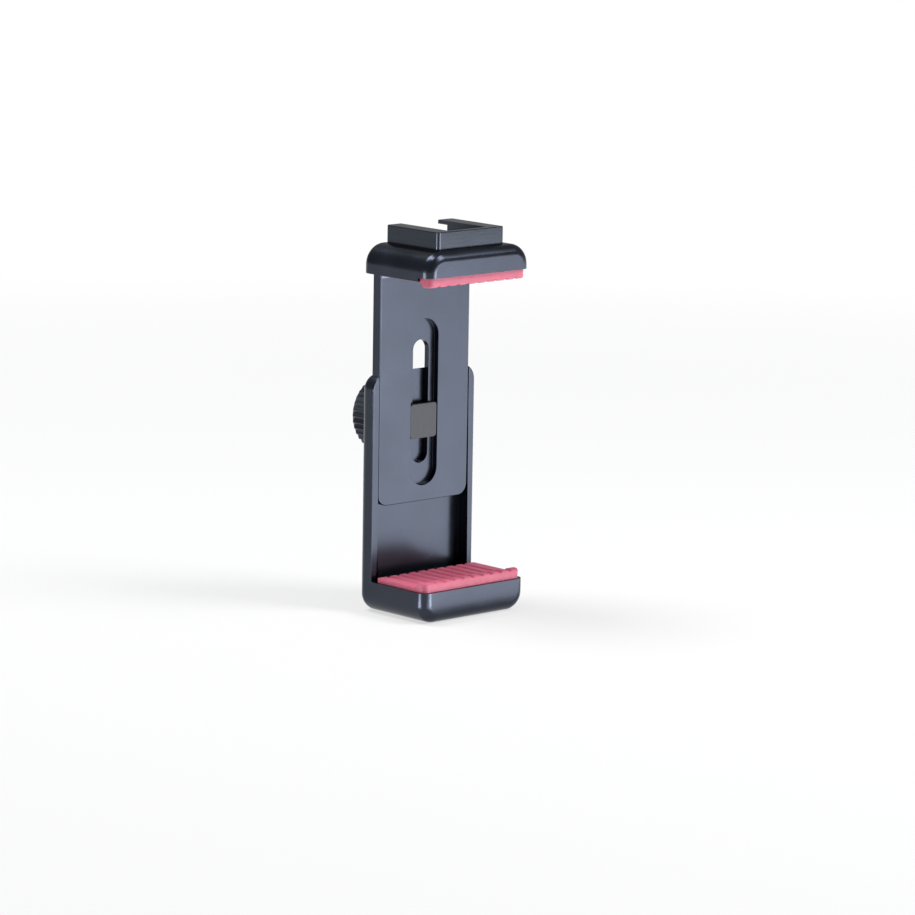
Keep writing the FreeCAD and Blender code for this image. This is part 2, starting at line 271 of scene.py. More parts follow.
def new_material(name):
    """An empty material and its node tree, with the object's own coordinates ready."""
    material = bpy.data.materials.new(name)
    material.use_nodes = True
    tree = material.node_tree
    tree.nodes.clear()
    place = add_node(tree, "ShaderNodeTexCoord", {}, {}).outputs["Object"]
    return material, tree, place


def per_metre(size_mm):
    """A noise scale whose grain is about this many millimetres across."""
    return 1 / (size_mm * MM)


# %% [markdown]
# ## Gloss black anodised aluminium
# Both jaws are milled aluminium, polished a little and then anodised: a hard oxide layer with a
# black, slightly blue dye. The dye takes the metal's brightness away, so only a dim, cool mirror
# is left. The shader is a metal with a very dark blue-grey colour. A fine grain of about a
# quarter of a millimetre, coarser than the real one so that it shows, softens the mirror, and a
# slow change in roughness keeps large faces from looking like glass.

# %% Jaw finish
GRAIN_MM = 0.25
CLOUD_MM = 9.0


def gloss_black_anodised():
    material, tree, place = new_material("gloss_black_anodised_aluminium")
    grain = add_node(tree, "ShaderNodeTexNoise", {}, {
        "Vector": place, "Scale": per_metre(GRAIN_MM), "Detail": 3.0, "Roughness": 0.6})
    cloud = add_node(tree, "ShaderNodeTexNoise", {}, {
        "Vector": place, "Scale": per_metre(CLOUD_MM), "Detail": 2.0, "Roughness": 0.5})
    roughness = add_node(tree, "ShaderNodeMapRange", {}, {
        "Value": cloud.outputs["Fac"], "From Min": 0.3, "From Max": 0.7,
        "To Min": 0.21, "To Max": 0.28})
    tone = add_node(tree, "ShaderNodeMix", {"data_type": "RGBA"}, {
        "Factor": cloud.outputs["Fac"], "A": linear("#33373f"), "B": linear("#3b3f4a")})
    bump = add_node(tree, "ShaderNodeBump", {}, {
        "Height": grain.outputs["Fac"], "Strength": 0.08, "Distance": 0.00002})
    shader = add_node(tree, "ShaderNodeBsdfPrincipled", {}, {
        "Base Color": tone.outputs["Result"], "Metallic": 1.0,
        "Roughness": roughness.outputs["Result"], "Normal": bump.outputs["Normal"]})
    add_node(tree, "ShaderNodeOutputMaterial", {}, {"Surface": shader.outputs["BSDF"]})
    return material


MATERIALS["jaw_aluminium"] = gloss_black_anodised()
print("material:", MATERIALS["jaw_aluminium"].name)

# %% [markdown]
# ## Brushed black anodised aluminium
# The shoe is sawn from flat bar and brushed before it is anodised, so its sides carry fine lines
# that run lengthways. Noise stretched along one direction gives such lines. The lines are drawn
# a sixth of a millimetre apart, about twice as coarse as the real ones, or they wouldn't show.

# %% Shoe finish
BRUSH_LINE_MM = 0.16
BRUSH_LENGTH_MM = 9.0


def brushed_black_anodised():
    material, tree, place = new_material("brushed_black_anodised_aluminium")
    stretch = add_node(tree, "ShaderNodeMapping", {}, {
        "Vector": place,
        "Scale": (BRUSH_LINE_MM / BRUSH_LENGTH_MM, BRUSH_LINE_MM / BRUSH_LENGTH_MM, 1.0)})
    lines = add_node(tree, "ShaderNodeTexNoise", {}, {
        "Vector": stretch.outputs["Vector"], "Scale": per_metre(BRUSH_LINE_MM), "Detail": 4.0,
        "Roughness": 0.65})
    tone = add_node(tree, "ShaderNodeMix", {"data_type": "RGBA"}, {
        "Factor": lines.outputs["Fac"], "A": linear("#292d34"), "B": linear("#41454d")})
    roughness = add_node(tree, "ShaderNodeMapRange", {}, {
        "Value": lines.outputs["Fac"], "From Min": 0.3, "From Max": 0.7,
        "To Min": 0.16, "To Max": 0.28})
    bump = add_node(tree, "ShaderNodeBump", {}, {
        "Height": lines.outputs["Fac"], "Strength": 0.25, "Distance": 0.00002})
    shader = add_node(tree, "ShaderNodeBsdfPrincipled", {}, {
        "Base Color": tone.outputs["Result"], "Metallic": 1.0,
        "Roughness": roughness.outputs["Result"], "Normal": bump.outputs["Normal"]})
    add_node(tree, "ShaderNodeOutputMaterial", {}, {"Surface": shader.outputs["BSDF"]})
    return material


MATERIALS["shoe_aluminium"] = brushed_black_anodised()
print("material:", MATERIALS["shoe_aluminium"].name)

# %% [markdown]
# ## Turned finishes round an axis
# The knob, the socket and the washers come off a lathe, whose tool leaves fine rings. The rings
# are worked out from the distance to the piece's axis and fed to a noise, so no two rings are
# alike. A Mapping node first moves the axis to the middle. The same maker serves the black
# anodised knob and the plain steel pieces, which differ in colour, gloss and axis.

# %% Turned finishes
RING_MM = 0.14


def turned_metal(name, colours, roughness_range, axis_place, flat_axis):
    material, tree, place = new_material(name)
    centred = add_node(tree, "ShaderNodeVectorMath", {"operation": "SUBTRACT"}, {
        0: place, 1: axis_place})
    across = add_node(tree, "ShaderNodeVectorMath", {"operation": "MULTIPLY"}, {
        0: centred.outputs["Vector"], 1: flat_axis})
    radius = add_node(tree, "ShaderNodeVectorMath", {"operation": "LENGTH"}, {
        0: across.outputs["Vector"]})
    rings = add_node(tree, "ShaderNodeTexNoise", {"noise_dimensions": "1D"}, {
        "W": radius.outputs["Value"], "Scale": per_metre(RING_MM), "Detail": 3.0})
    tone = add_node(tree, "ShaderNodeMix", {"data_type": "RGBA"}, {
        "Factor": rings.outputs["Fac"], "A": linear(colours[0]), "B": linear(colours[1])})
    roughness = add_node(tree, "ShaderNodeMapRange", {}, {
        "Value": rings.outputs["Fac"], "From Min": 0.3, "From Max": 0.7,
        "To Min": roughness_range[0], "To Max": roughness_range[1]})
    bump = add_node(tree, "ShaderNodeBump", {}, {
        "Height": rings.outputs["Fac"], "Strength": 0.3, "Distance": 0.00002})
    shader = add_node(tree, "ShaderNodeBsdfPrincipled", {}, {
        "Base Color": tone.outputs["Result"], "Metallic": 1.0,
        "Roughness": roughness.outputs["Result"], "Normal": bump.outputs["Normal"]})
    add_node(tree, "ShaderNodeOutputMaterial", {}, {"Surface": shader.outputs["BSDF"]})
    return material


BOLT_AXIS = (0, 0, BOLT_Z * MM)
MATERIALS["knob_aluminium"] = turned_metal(
    "turned_black_anodised_aluminium", ("#363a41", "#474b54"), (0.28, 0.42), BOLT_AXIS, (1, 0, 1))
MATERIALS["bright_steel"] = turned_metal(
    "turned_stainless_steel", ("#c3c1bd", "#d8d7d4"), (0.22, 0.36), BOLT_AXIS, (1, 0, 1))
MATERIALS["socket_steel"] = turned_metal(
    "turned_stainless_socket_steel", ("#c3c1bd", "#d8d7d4"), (0.22, 0.36), (0, 0, 0), (1, 1, 0))
print("materials:", len(MATERIALS))

# %% [markdown]
# ## Coral silicone
# The pads are moulded silicone, so they are soft, a little see-through near thin edges and matt.
# Light that enters comes out a fraction of a millimetre further on, which subsurface scattering
# gives. A mould's fine texture is a shallow bump, and dust that silicone always picks up makes
# the colour a little paler in places.

# %% Pad finish
MOULD_GRAIN_MM = 0.3
DUST_MM = 3.0


def coral_silicone():
    material, tree, place = new_material("coral_silicone")
    grain = add_node(tree, "ShaderNodeTexNoise", {}, {
        "Vector": place, "Scale": per_metre(MOULD_GRAIN_MM), "Detail": 4.0, "Roughness": 0.6})
    dust = add_node(tree, "ShaderNodeTexNoise", {}, {
        "Vector": place, "Scale": per_metre(DUST_MM), "Detail": 5.0, "Roughness": 0.65})
    colour = add_node(tree, "ShaderNodeMix", {"data_type": "RGBA"}, {
        "Factor": dust.outputs["Fac"], "A": linear("#e05c7c"), "B": linear("#ec7c98")})
    bump = add_node(tree, "ShaderNodeBump", {}, {
        "Height": grain.outputs["Fac"], "Strength": 0.25, "Distance": 0.00004})
    shader = add_node(tree, "ShaderNodeBsdfPrincipled", {}, {
        "Base Color": colour.outputs["Result"], "Roughness": 0.48, "IOR": 1.41,
        "Subsurface Weight": 0.25, "Subsurface Radius": (1.0, 0.35, 0.3),
        "Subsurface Scale": 0.0006, "Sheen Weight": 0.08, "Sheen Roughness": 0.5,
        "Normal": bump.outputs["Normal"]})
    add_node(tree, "ShaderNodeOutputMaterial", {}, {"Surface": shader.outputs["BSDF"]})
    return material


MATERIALS["silicone"] = coral_silicone()
print("material:", MATERIALS["silicone"].name)

# %% [markdown]
# ## Black oxide steel and acetal
# The clamping bolt, the small screws and the retaining ring are steel with a thin black oxide,
# which looks like oily, mottled dark metal. The friction washer is acetal, a hard slippery plastic
# with a dull shine. Both are simple noises on a base shader.

# %% Small part finishes
OXIDE_MOTTLE_MM = 0.5
ACETAL_GRAIN_MM = 0.4


def black_oxide_steel():
    material, tree, place = new_material("black_oxide_steel")
    mottle = add_node(tree, "ShaderNodeTexNoise", {}, {
        "Vector": place, "Scale": per_metre(OXIDE_MOTTLE_MM), "Detail": 4.0})
    tone = add_node(tree, "ShaderNodeMix", {"data_type": "RGBA"}, {
        "Factor": mottle.outputs["Fac"], "A": linear("#2d2e31"), "B": linear("#404145")})
    roughness = add_node(tree, "ShaderNodeMapRange", {}, {
        "Value": mottle.outputs["Fac"], "To Min": 0.3, "To Max": 0.55})
    shader = add_node(tree, "ShaderNodeBsdfPrincipled", {}, {
        "Base Color": tone.outputs["Result"], "Metallic": 1.0,
        "Roughness": roughness.outputs["Result"]})
    add_node(tree, "ShaderNodeOutputMaterial", {}, {"Surface": shader.outputs["BSDF"]})
    return material


def acetal():
    material, tree, place = new_material("black_acetal")
    grain = add_node(tree, "ShaderNodeTexNoise", {}, {
        "Vector": place, "Scale": per_metre(ACETAL_GRAIN_MM), "Detail": 3.0})
    tone = add_node(tree, "ShaderNodeMix", {"data_type": "RGBA"}, {
        "Factor": grain.outputs["Fac"], "A": linear("#1d1d1f"), "B": linear("#262628")})
    bump = add_node(tree, "ShaderNodeBump", {}, {
        "Height": grain.outputs["Fac"], "Strength": 0.2, "Distance": 0.00003})
    shader = add_node(tree, "ShaderNodeBsdfPrincipled", {}, {
        "Base Color": tone.outputs["Result"], "Roughness": 0.42, "IOR": 1.48,
        "Normal": bump.outputs["Normal"]})
    add_node(tree, "ShaderNodeOutputMaterial", {}, {"Surface": shader.outputs["BSDF"]})
    return material


MATERIALS["black_steel"] = black_oxide_steel()
MATERIALS["washer_plastic"] = acetal()
print("materials:", len(MATERIALS))

# %% [markdown]
# ## The upper jaw
# The upper jaw is milled from an L-shaped bar: a thick slab over the gap and a flat arm behind
# it. Seen from the front, its top corners are large arcs, and a smaller fillet runs round that
# outline. So the block's long edges are bevelled first, and the outline after them. That order
# matters, because the fillet has to follow the arcs. Two narrow skirts reach down at the sides and
# cover the ends of the silicone pad, so the slab is made as deep as they are.

# %% Upper jaw: the slab over the gap
UPPER_CORNER = 5.3
RIM = 2.6
EDGE_BREAK = 0.3
SKIRT_DROP = 1.0
SKIRT_BOTTOM = JAW_BOTTOM - SKIRT_DROP


def upper_slab():
    bm = block((-SIDE, FRONT, SKIRT_BOTTOM), (SIDE, BACK, JAW_HIGH.z))
    long_edges = edges_where(bm, lambda p: near(p.z, JAW_HIGH.z))
    long_edges = [edge for edge in long_edges if near(edge.verts[0].co.x, edge.verts[1].co.x)]
    bevel(bm, long_edges, UPPER_CORNER, 18)
    outline = edges_where(bm, lambda p: near(p.y, FRONT))
    outline += edges_where(bm, lambda p: near(p.y, BACK))
    outline = [edge for edge in outline if not all(near(v.co.z, SKIRT_BOTTOM) for v in edge.verts)]
    bevel(bm, outline, RIM, 12)
    return bm


# %% [markdown]
# The arm is a second block, joined to the slab from below. Then a shallow pocket for the pad is
# milled out between the skirts and right through the front. A long slot in the arm lets the
# clamping bolt pass, and a wider, shallow track in front of it keeps the bolt's square head from
# turning. Both are cut with the same round-ended tool. Four holes in the top take the shoe's
# screws.

# %% Upper jaw: the arm and its track
ARM_THICKNESS = 3.0
ARM_INSET = 2.1
ARM_CORNER = 3.0
ARM_ROOT = 1.2
SLIDE_GAP = 0.1
CHANNEL_FLOOR = 1.9
SLOT_HALF = 2.6
TRACK_HALF = 4.5
TRACK_DEPTH = 1.5
TRACK_RUN_ON = 3.6
TRAVEL_UP = 8.3
TRAVEL_DOWN = 17.7
SKIRT_WIDTH = 0.7
PAD_GAP = 0.1
LIP_DEPTH = 3.2
SCREW_HOLE = 1.05
SCREW_TIP_GAP = 0.5

ARM_BACK = BACK - CHANNEL_FLOOR - SLIDE_GAP
ARM_FRONT = ARM_BACK - ARM_THICKNESS
ARM_HALF = SIDE - ARM_INSET


def sliding_arm():
    bm = block((-ARM_HALF, ARM_FRONT, JAW_LOW.z), (ARM_HALF, ARM_BACK, SKIRT_BOTTOM + EDGE_BREAK))
    low_corners = edges_where(bm, lambda p: near(p.z, JAW_LOW.z))
    low_corners = [edge for edge in low_corners if near(edge.verts[0].co.x, edge.verts[1].co.x)]
    bevel(bm, low_corners, ARM_CORNER, 10)
    rims = [edge for edge in bm.edges if near(edge.verts[0].co.y, edge.verts[1].co.y)
            and not all(v.co.z > SKIRT_BOTTOM for v in edge.verts)]
    bevel(bm, rims, EDGE_BREAK, 2)
    return bm


def screw_centre(number):
    low, high = corners_mm("shoe_screw_%d" % number)
    return (low.x + high.x) / 2, (low.y + high.y) / 2, 0


def upper_jaw():
    bm = combine(upper_slab(), sliding_arm(), "UNION")
    root = edges_where(bm, lambda p: near(p.y, ARM_FRONT) and near(p.z, SKIRT_BOTTOM))
    bevel(bm, root, ARM_ROOT, 6)
    skirt_front = UPPER_PAD_LOW.y + LIP_DEPTH + PAD_GAP
    pocket_half = SIDE - SKIRT_WIDTH
    pocket_end = UPPER_PAD_HIGH.y + PAD_GAP
    for half, pocket_back in ((SIDE + OVERRUN, skirt_front), (pocket_half, pocket_end)):
        pocket = block((-half, FRONT - OVERRUN, SKIRT_BOTTOM - OVERRUN),
                       (half, pocket_back, JAW_BOTTOM))
        bm = combine(bm, pocket, "DIFFERENCE")
    slot_low, slot_high = BOLT_Z - TRAVEL_UP, BOLT_Z + TRAVEL_DOWN
    slot = long_hole(SLOT_HALF, ARM_FRONT - OVERRUN, ARM_BACK + OVERRUN, slot_low, slot_high)
    track = long_hole(TRACK_HALF, ARM_FRONT - OVERRUN, ARM_FRONT + TRACK_DEPTH,
                      slot_low - TRACK_RUN_ON, slot_high + TRACK_RUN_ON)
    bm = combine(combine(bm, slot, "DIFFERENCE"), track, "DIFFERENCE")
    hole_bottom = corners_mm("shoe_screw_1")[0].z - SCREW_TIP_GAP
    for number in range(1, 5):
        hole = rod(SCREW_HOLE, hole_bottom, JAW_HIGH.z + OVERRUN, Z_AXIS, screw_centre(number))
        bm = combine(bm, hole, "DIFFERENCE")
    return bm


finish_piece("upper_jaw_piece", upper_jaw(), "upper_jaw", "sliding_jaw", "jaw_aluminium",
             edge_mm=MILLED_EDGE)

# %% [markdown]
# ## The lower jaw
# The lower jaw is one bar too, with a plate that stands up at its back. A single block
# becomes an L when its top is cut across with a bisecting plane and the back part is extruded
# upward. Then the outline is rounded in the same order as before, and the right half is copied onto
# the left, because a bevel can end in slightly different ways on the two sides.

# %% Lower jaw: the L-shaped bar
LOWER_CORNER = 4.6
CHANNEL_CORNER = 4.0
CHANNEL_WALL = 2.0


def lower_bar():
    bm = block((-SIDE, FRONT, 0), (SIDE, BACK, BASE_TOP))
    bmesh.ops.bisect_plane(bm, geom=bm.verts[:] + bm.edges[:] + bm.faces[:],
                           plane_co=(0, ARM_FRONT, 0), plane_no=Y_AXIS)
    seat = [face for face in bm.faces
            if face.normal.z > 0.9 and face.calc_center_median().y > ARM_FRONT]
    raised = bmesh.ops.extrude_face_region(bm, geom=seat)
    bmesh.ops.delete(bm, geom=[face for face in seat if face.is_valid], context="FACES_ONLY")
    plate_top = [item for item in raised["geom"] if isinstance(item, bmesh.types.BMVert)]
    bmesh.ops.translate(bm, vec=Z_AXIS * (BASE_HIGH.z - BASE_TOP), verts=plate_top)
    return bm


def along_y(edges):
    return [edge for edge in edges if near(edge.verts[0].co.x, edge.verts[1].co.x)
            and near(edge.verts[0].co.z, edge.verts[1].co.z)]


def round_lower_bar(bm):
    at_side = along_y(edges_where(bm, lambda p: near(abs(p.x), SIDE)))
    bevel(bm, [edge for edge in at_side if near(edge.verts[0].co.z, 0)], LOWER_CORNER, 14)
    at_side = along_y(edges_where(bm, lambda p: near(abs(p.x), SIDE)))
    top_corners = [edge for edge in at_side if near(edge.verts[0].co.z, BASE_HIGH.z)]
    bevel(bm, top_corners, CHANNEL_CORNER, 14)
    front_outline = [edge for edge in edges_where(bm, lambda p: near(p.y, FRONT))
                     if not all(near(v.co.z, BASE_TOP) for v in edge.verts)]
    bevel(bm, front_outline + edges_where(bm, lambda p: near(p.y, BACK)), RIM, 12)
    plate_front = [edge for edge in edges_where(bm, lambda p: near(p.y, ARM_FRONT))
                   if any(v.co.z > BASE_TOP + NEAR for v in edge.verts)]
    bevel(bm, plate_front, EDGE_BREAK, 2)
    bmesh.ops.symmetrize(bm, input=bm.verts[:] + bm.edges[:] + bm.faces[:], direction="X",
                         dist=NEAR / 10)
    return bm


# %% [markdown]
# A wide groove turns the plate into a channel for the arm, and a round boss at its back carries
# the lock knob's washers. The bolt passes through both. From below, a stepped hole takes the
# steel bush with the tripod thread.

# %% Lower jaw: channel, boss and holes
BOSS_RADIUS = 8.0
BOSS_RISE = 1.0
BOLT_HOLE = 2.75
BUSH_HOLE = 4.73
FLANGE_HOLE = 6.03
FLANGE_HEIGHT = 1.0
BUSH_LENGTH = 6.0


def lower_jaw():
    bm = round_lower_bar(lower_bar())
    half = SIDE - CHANNEL_WALL
    groove = block((-half, ARM_FRONT - OVERRUN / 2, BASE_TOP),
                   (half, BACK - CHANNEL_FLOOR, BASE_HIGH.z + 2 * OVERRUN))
    bm = combine(bm, groove, "DIFFERENCE")
    bolt_line = (0, 0, BOLT_Z)
    boss_end = BACK + BOSS_RISE
    boss = rod(BOSS_RADIUS, BACK - CHANNEL_FLOOR, boss_end, Y_AXIS, bolt_line, EDGE_BREAK)
    bm = combine(bm, boss, "UNION")
    bolt_hole = rod(BOLT_HOLE, ARM_FRONT, boss_end + OVERRUN, Y_AXIS, bolt_line)
    bm = combine(bm, bolt_hole, "DIFFERENCE")
    bush_hole = rod(BUSH_HOLE, -OVERRUN, BUSH_LENGTH, Z_AXIS, (0, 0, 0))
    bm = combine(bm, bush_hole, "DIFFERENCE")
    flange_hole = rod(FLANGE_HOLE, -OVERRUN, FLANGE_HEIGHT, Z_AXIS, (0, 0, 0))
    return combine(bm, flange_hole, "DIFFERENCE")


finish_piece("lower_jaw_piece", lower_jaw(), "lower_jaw", "lower_clamp", "jaw_aluminium",
             edge_mm=MILLED_EDGE)

# %% [markdown]
# ## The silicone pads
# Each pad is a thin sheet with a lip at the front, which keeps the device from sliding out, and
# V-shaped grooves that run from front to back. The lip is made by lifting the front of a flat
# block. Each groove is three bisecting cuts, after which the line in the middle is pushed down to
# the groove's floor. The floor lies half a millimetre under the sheet and under the lip's crest, so
# it climbs the lip's steep back and leaves small notches in its front edge.

# %% Pads
PAD_THICKNESS = 1.2
PAD_CORNER = 1.8
LIP_SLOPE = 0.6
LIP_ROUND = 0.5
TOOTH_PITCH = 3.17
GROOVE_WIDTH = 1.4
GROOVE_DEPTH = 0.5
SOFT_EDGE = 0.13

LIP_HEIGHT = PAD_HIGH.z - PAD_LOW.z
PAD_HALF = PAD_HIGH.x
PAD_FRONT = PAD_LOW.y
PAD_BACK = PAD_HIGH.y
SLOPE_BACK = PAD_FRONT + LIP_DEPTH
CREST_BACK = SLOPE_BACK - LIP_SLOPE


def bisect(bm, point, normal):
    bmesh.ops.bisect_plane(bm, geom=bm.verts[:] + bm.edges[:] + bm.faces[:],
                           plane_co=point, plane_no=normal)


def pad_sheet():
    """The pad with its lip, still without grooves, standing on z = 0."""
    bm = block((-PAD_HALF, PAD_FRONT, 0), (PAD_HALF, PAD_BACK, PAD_THICKNESS))
    uprights = edges_where(bm, lambda p: near(p.y, PAD_FRONT))
    uprights = [edge for edge in uprights if not near(edge.verts[0].co.z, edge.verts[1].co.z)]
    bevel(bm, uprights, PAD_CORNER, 8)
    bisect(bm, (0, CREST_BACK, 0), Y_AXIS)
    bisect(bm, (0, SLOPE_BACK, 0), Y_AXIS)
    lip = [v for v in bm.verts if v.co.z > NEAR and v.co.y < CREST_BACK + NEAR]
    bmesh.ops.translate(bm, vec=Z_AXIS * (LIP_HEIGHT - PAD_THICKNESS), verts=lip)
    bevel(bm, edges_where(bm, lambda p: near(p.z, LIP_HEIGHT)), LIP_ROUND, 4)
    return bm


def groove_floor(y):
    """The height of a groove's floor, which climbs the back of the lip."""
    climb = min(max((SLOPE_BACK - y) / LIP_SLOPE, 0), 1)
    return PAD_THICKNESS + (LIP_HEIGHT - PAD_THICKNESS) * climb - GROOVE_DEPTH


def grooved_pad():
    bm = pad_sheet()
    half = GROOVE_WIDTH / 2
    count = int((2 * PAD_HALF - GROOVE_WIDTH) / TOOTH_PITCH)
    for i in range(count):
        x = (i - (count - 1) / 2) * TOOTH_PITCH
        for shift in (-half, 0, half):
            bisect(bm, (x + shift, 0, 0), (1, 0, 0))
        for vert in bm.verts:
            if near(vert.co.x, x) and vert.co.z > NEAR:
                vert.co.z = min(vert.co.z, groove_floor(vert.co.y))
    return bm


lower_pad = grooved_pad()
bmesh.ops.translate(lower_pad, vec=(0, 0, PAD_LOW.z), verts=lower_pad.verts)
finish_piece("lower_pad_piece", lower_pad, "lower_pad", "lower_clamp", "silicone",
             edge_mm=SOFT_EDGE)

upper_pad = grooved_pad()
bmesh.ops.scale(upper_pad, vec=(1, 1, -1), verts=upper_pad.verts)
bmesh.ops.recalc_face_normals(upper_pad, faces=upper_pad.faces)
bmesh.ops.translate(upper_pad, vec=(0, 0, UPPER_PAD_HIGH.z), verts=upper_pad.verts)
finish_piece("upper_pad_piece", upper_pad, "upper_pad", "sliding_jaw", "silicone",
             edge_mm=SOFT_EDGE)

# %% [markdown]
# ## The accessory shoe
# The shoe is a small block with a T-shaped slot: an accessory's foot slides in from the
# back, under two lips, and stops at the closed front. Two blocks cut the slot, one for the foot
# and one for its neck. Four countersunk screws hold the shoe, each in a cone-shaped seat.

# %% Shoe and its screws
SHOE_CORNER = 0.8
SHOE_BREAK = 0.2
SHOE_FLOOR = 1.2
SLOT_HEIGHT = 2.1
SLOT_WIDTH = 18.8
MOUTH_WIDTH = 12.6
FRONT_WALL = 1.6
SCREW_RADIUS = 1.0
SCREW_HEAD = 1.9
SCREW_HEAD_HEIGHT = 1.0
SCREW_LENGTH = 4.2
SCREW_SOCKET = 1.3
SCREW_SOCKET_DEPTH = 0.7
SEAT_GAP = 0.05
SEAT_TOOL_RISE = 0.5

FLOOR_Z = SHOE_LOW.z + SHOE_FLOOR


def screw_profile():
    """A countersunk screw's outline from its axis."""
    tip = FLOOR_Z - SCREW_LENGTH
    return [(0, FLOOR_Z), (SCREW_HEAD, FLOOR_Z), (SCREW_RADIUS, FLOOR_Z - SCREW_HEAD_HEIGHT),
            (SCREW_RADIUS, tip), (0, tip)]


def seat_profile():
    """The tool for a screw's seat: the screw with a gap all round, and higher than the floor."""
    rings = [(radius + SEAT_GAP if radius > 0 else 0, z) for radius, z in screw_profile()]
    above = FLOOR_Z + SEAT_TOOL_RISE
    return [(0, above), (SCREW_HEAD + SEAT_GAP, above)] + rings[1:]


def cold_shoe():
    bm = block(SHOE_LOW, SHOE_HIGH)
    uprights = [e for e in bm.edges if not near(e.verts[0].co.z, e.verts[1].co.z)]
    bevel(bm, uprights, SHOE_CORNER, 6)
    bevel(bm, edges_where(bm, lambda p: near(p.z, SHOE_HIGH.z)), SHOE_BREAK, 2)
    slot_front = SHOE_LOW.y + FRONT_WALL
    slot_back = SHOE_HIGH.y + OVERRUN
    for width, top in ((SLOT_WIDTH, FLOOR_Z + SLOT_HEIGHT), (MOUTH_WIDTH, SHOE_HIGH.z + OVERRUN)):
        cutter = block((-width / 2, slot_front, FLOOR_Z), (width / 2, slot_back, top))
        bm = combine(bm, cutter, "DIFFERENCE")
    for number in range(1, 5):
        seat = turned(seat_profile(), Z_AXIS, screw_centre(number), 40)
        bm = combine(bm, seat, "DIFFERENCE")
    return bm


def shoe_screw(number):
    bm = turned(screw_profile(), Z_AXIS, screw_centre(number), 40)
    key = bmesh.new()
    key_corner = SCREW_SOCKET / 2 / math.cos(math.radians(30))
    bmesh.ops.create_cone(key, cap_ends=True, segments=6, depth=2 * SCREW_SOCKET_DEPTH,
                          radius1=key_corner, radius2=key_corner)
    bmesh.ops.translate(key, vec=Vector(screw_centre(number)) + Z_AXIS * FLOOR_Z, verts=key.verts)
    return combine(bm, key, "DIFFERENCE")


finish_piece("cold_shoe_piece", cold_shoe(), "cold_shoe", "sliding_jaw", "shoe_aluminium")
for number in range(1, 5):
    finish_piece("shoe_screw_piece_%d" % number, shoe_screw(number), "shoe_screw_%d" % number,
                 "sliding_jaw", "black_steel")

# %% [markdown]
# ## The tripod socket and its thread
# Camera screws have a quarter-inch thread, with twenty turns to the inch. A thread is a V that
# climbs as it goes round, so one V is drawn and spun with a lift at each step. The lift in one
# turn is the pitch, so each turn joins the next. The ends are cut flat, and the ring between the
# cut thread and the bush is filled with triangles.

# %% Tripod socket
THREAD_PITCH = 25.4 / 20
THREAD_MINOR = 2.6
THREAD_MAJOR = 3.175
THREAD_ROOM = 0.2
TURN_STEPS = 48
BUSH_RADIUS = 4.7
BUSH_BREAK = 0.25


def threaded_wall(minor, major, pitch, height):
    """The inside wall of a threaded hole, cut flat at z = 0 and at its height."""
    bm = bmesh.new()
    points = [(minor, -pitch), (minor, -pitch * 7 / 8), (major, -pitch / 2), (minor, -pitch / 8),
              (minor, 0)]
    verts = [bm.verts.new((radius, 0, z)) for radius, z in points]
    for start, end in zip(verts, verts[1:]):
        bm.edges.new((start, end))
    turns = math.ceil(height / pitch) + 2
    bmesh.ops.spin(bm, geom=bm.verts[:] + bm.edges[:], axis=Z_AXIS, cent=(0, 0, 0),
                   dvec=(0, 0, pitch / TURN_STEPS), angle=math.radians(360 * turns),
                   steps=TURN_STEPS * turns)
    bmesh.ops.remove_doubles(bm, verts=bm.verts, dist=NEAR / 10)
    for z, normal in ((0, (0, 0, -1)), (height, (0, 0, 1))):
        bmesh.ops.bisect_plane(bm, geom=bm.verts[:] + bm.edges[:] + bm.faces[:],
                               plane_co=(0, 0, z), plane_no=normal, clear_outer=True)
    return bm


def bush_shell():
    """The bush's outside, from its mouth over the flange to its top, still without a bore."""
    bm = bmesh.new()
    edge = BUSH_BREAK
    _, flange = corners_mm("tripod_socket")
    inner = THREAD_MAJOR + THREAD_ROOM
    profile = [(inner, 0), (flange.x - edge, 0), (flange.x, edge), (flange.x, FLANGE_HEIGHT),
               (BUSH_RADIUS, FLANGE_HEIGHT), (BUSH_RADIUS, BUSH_LENGTH), (inner, BUSH_LENGTH)]
    verts = [bm.verts.new((radius, 0, z)) for radius, z in profile]
    for start, end in zip(verts, verts[1:]):
        bm.edges.new((start, end))
    bmesh.ops.spin(bm, geom=bm.verts[:] + bm.edges[:], axis=Z_AXIS, cent=(0, 0, 0),
                   angle=math.radians(360), steps=TURN_STEPS, use_merge=True)
    return bm


def tripod_socket():
    bm = threaded_wall(THREAD_MINOR, THREAD_MAJOR, THREAD_PITCH, BUSH_LENGTH)
    shell = bush_shell()
    mesh = bpy.data.meshes.new("scratch")
    shell.to_mesh(mesh)
    shell.free()
    bm.from_mesh(mesh)
    for z in (0, BUSH_LENGTH):
        rims = [edge for edge in edges_where(bm, lambda p: near(p.z, z)) if edge.is_boundary]
        bmesh.ops.triangle_fill(bm, edges=rims, use_beauty=True, use_dissolve=False, normal=Z_AXIS)
    bmesh.ops.recalc_face_normals(bm, faces=bm.faces)
    return bm


finish_piece("tripod_socket_piece", tripod_socket(), "tripod_socket", "lower_clamp", "bright_steel",
             finish="socket_steel")

# %% [markdown]
# ## The lock knob
# The knob is a thick disc with thirty-six shallow flutes for the fingers. It starts as a many-sided
# bar with rounded rims. Each corner of it is then pulled in towards the axis by a wave that has one
# dip for each flute. A bore takes the threaded insert, and a recess takes the cap.

# %% Knob
FLUTES = 36
SIDES_PER_FLUTE = 8
FLUTE_DEPTH = 0.55
RIM_CHAMFER = 0.9
RIM_ROUND = 0.25
SHARP_ANGLE = 0.5
HUB_RADIUS = 7.6
HUB_LENGTH = 0.8
HUB_BREAK = 0.2
INSERT_HOLE = 4.63
CAP_HOLE = 6.43

KNOB_RADIUS = KNOB_HIGH.x
CAP_LOW, CAP_HIGH = corners_mm("knob_cap")


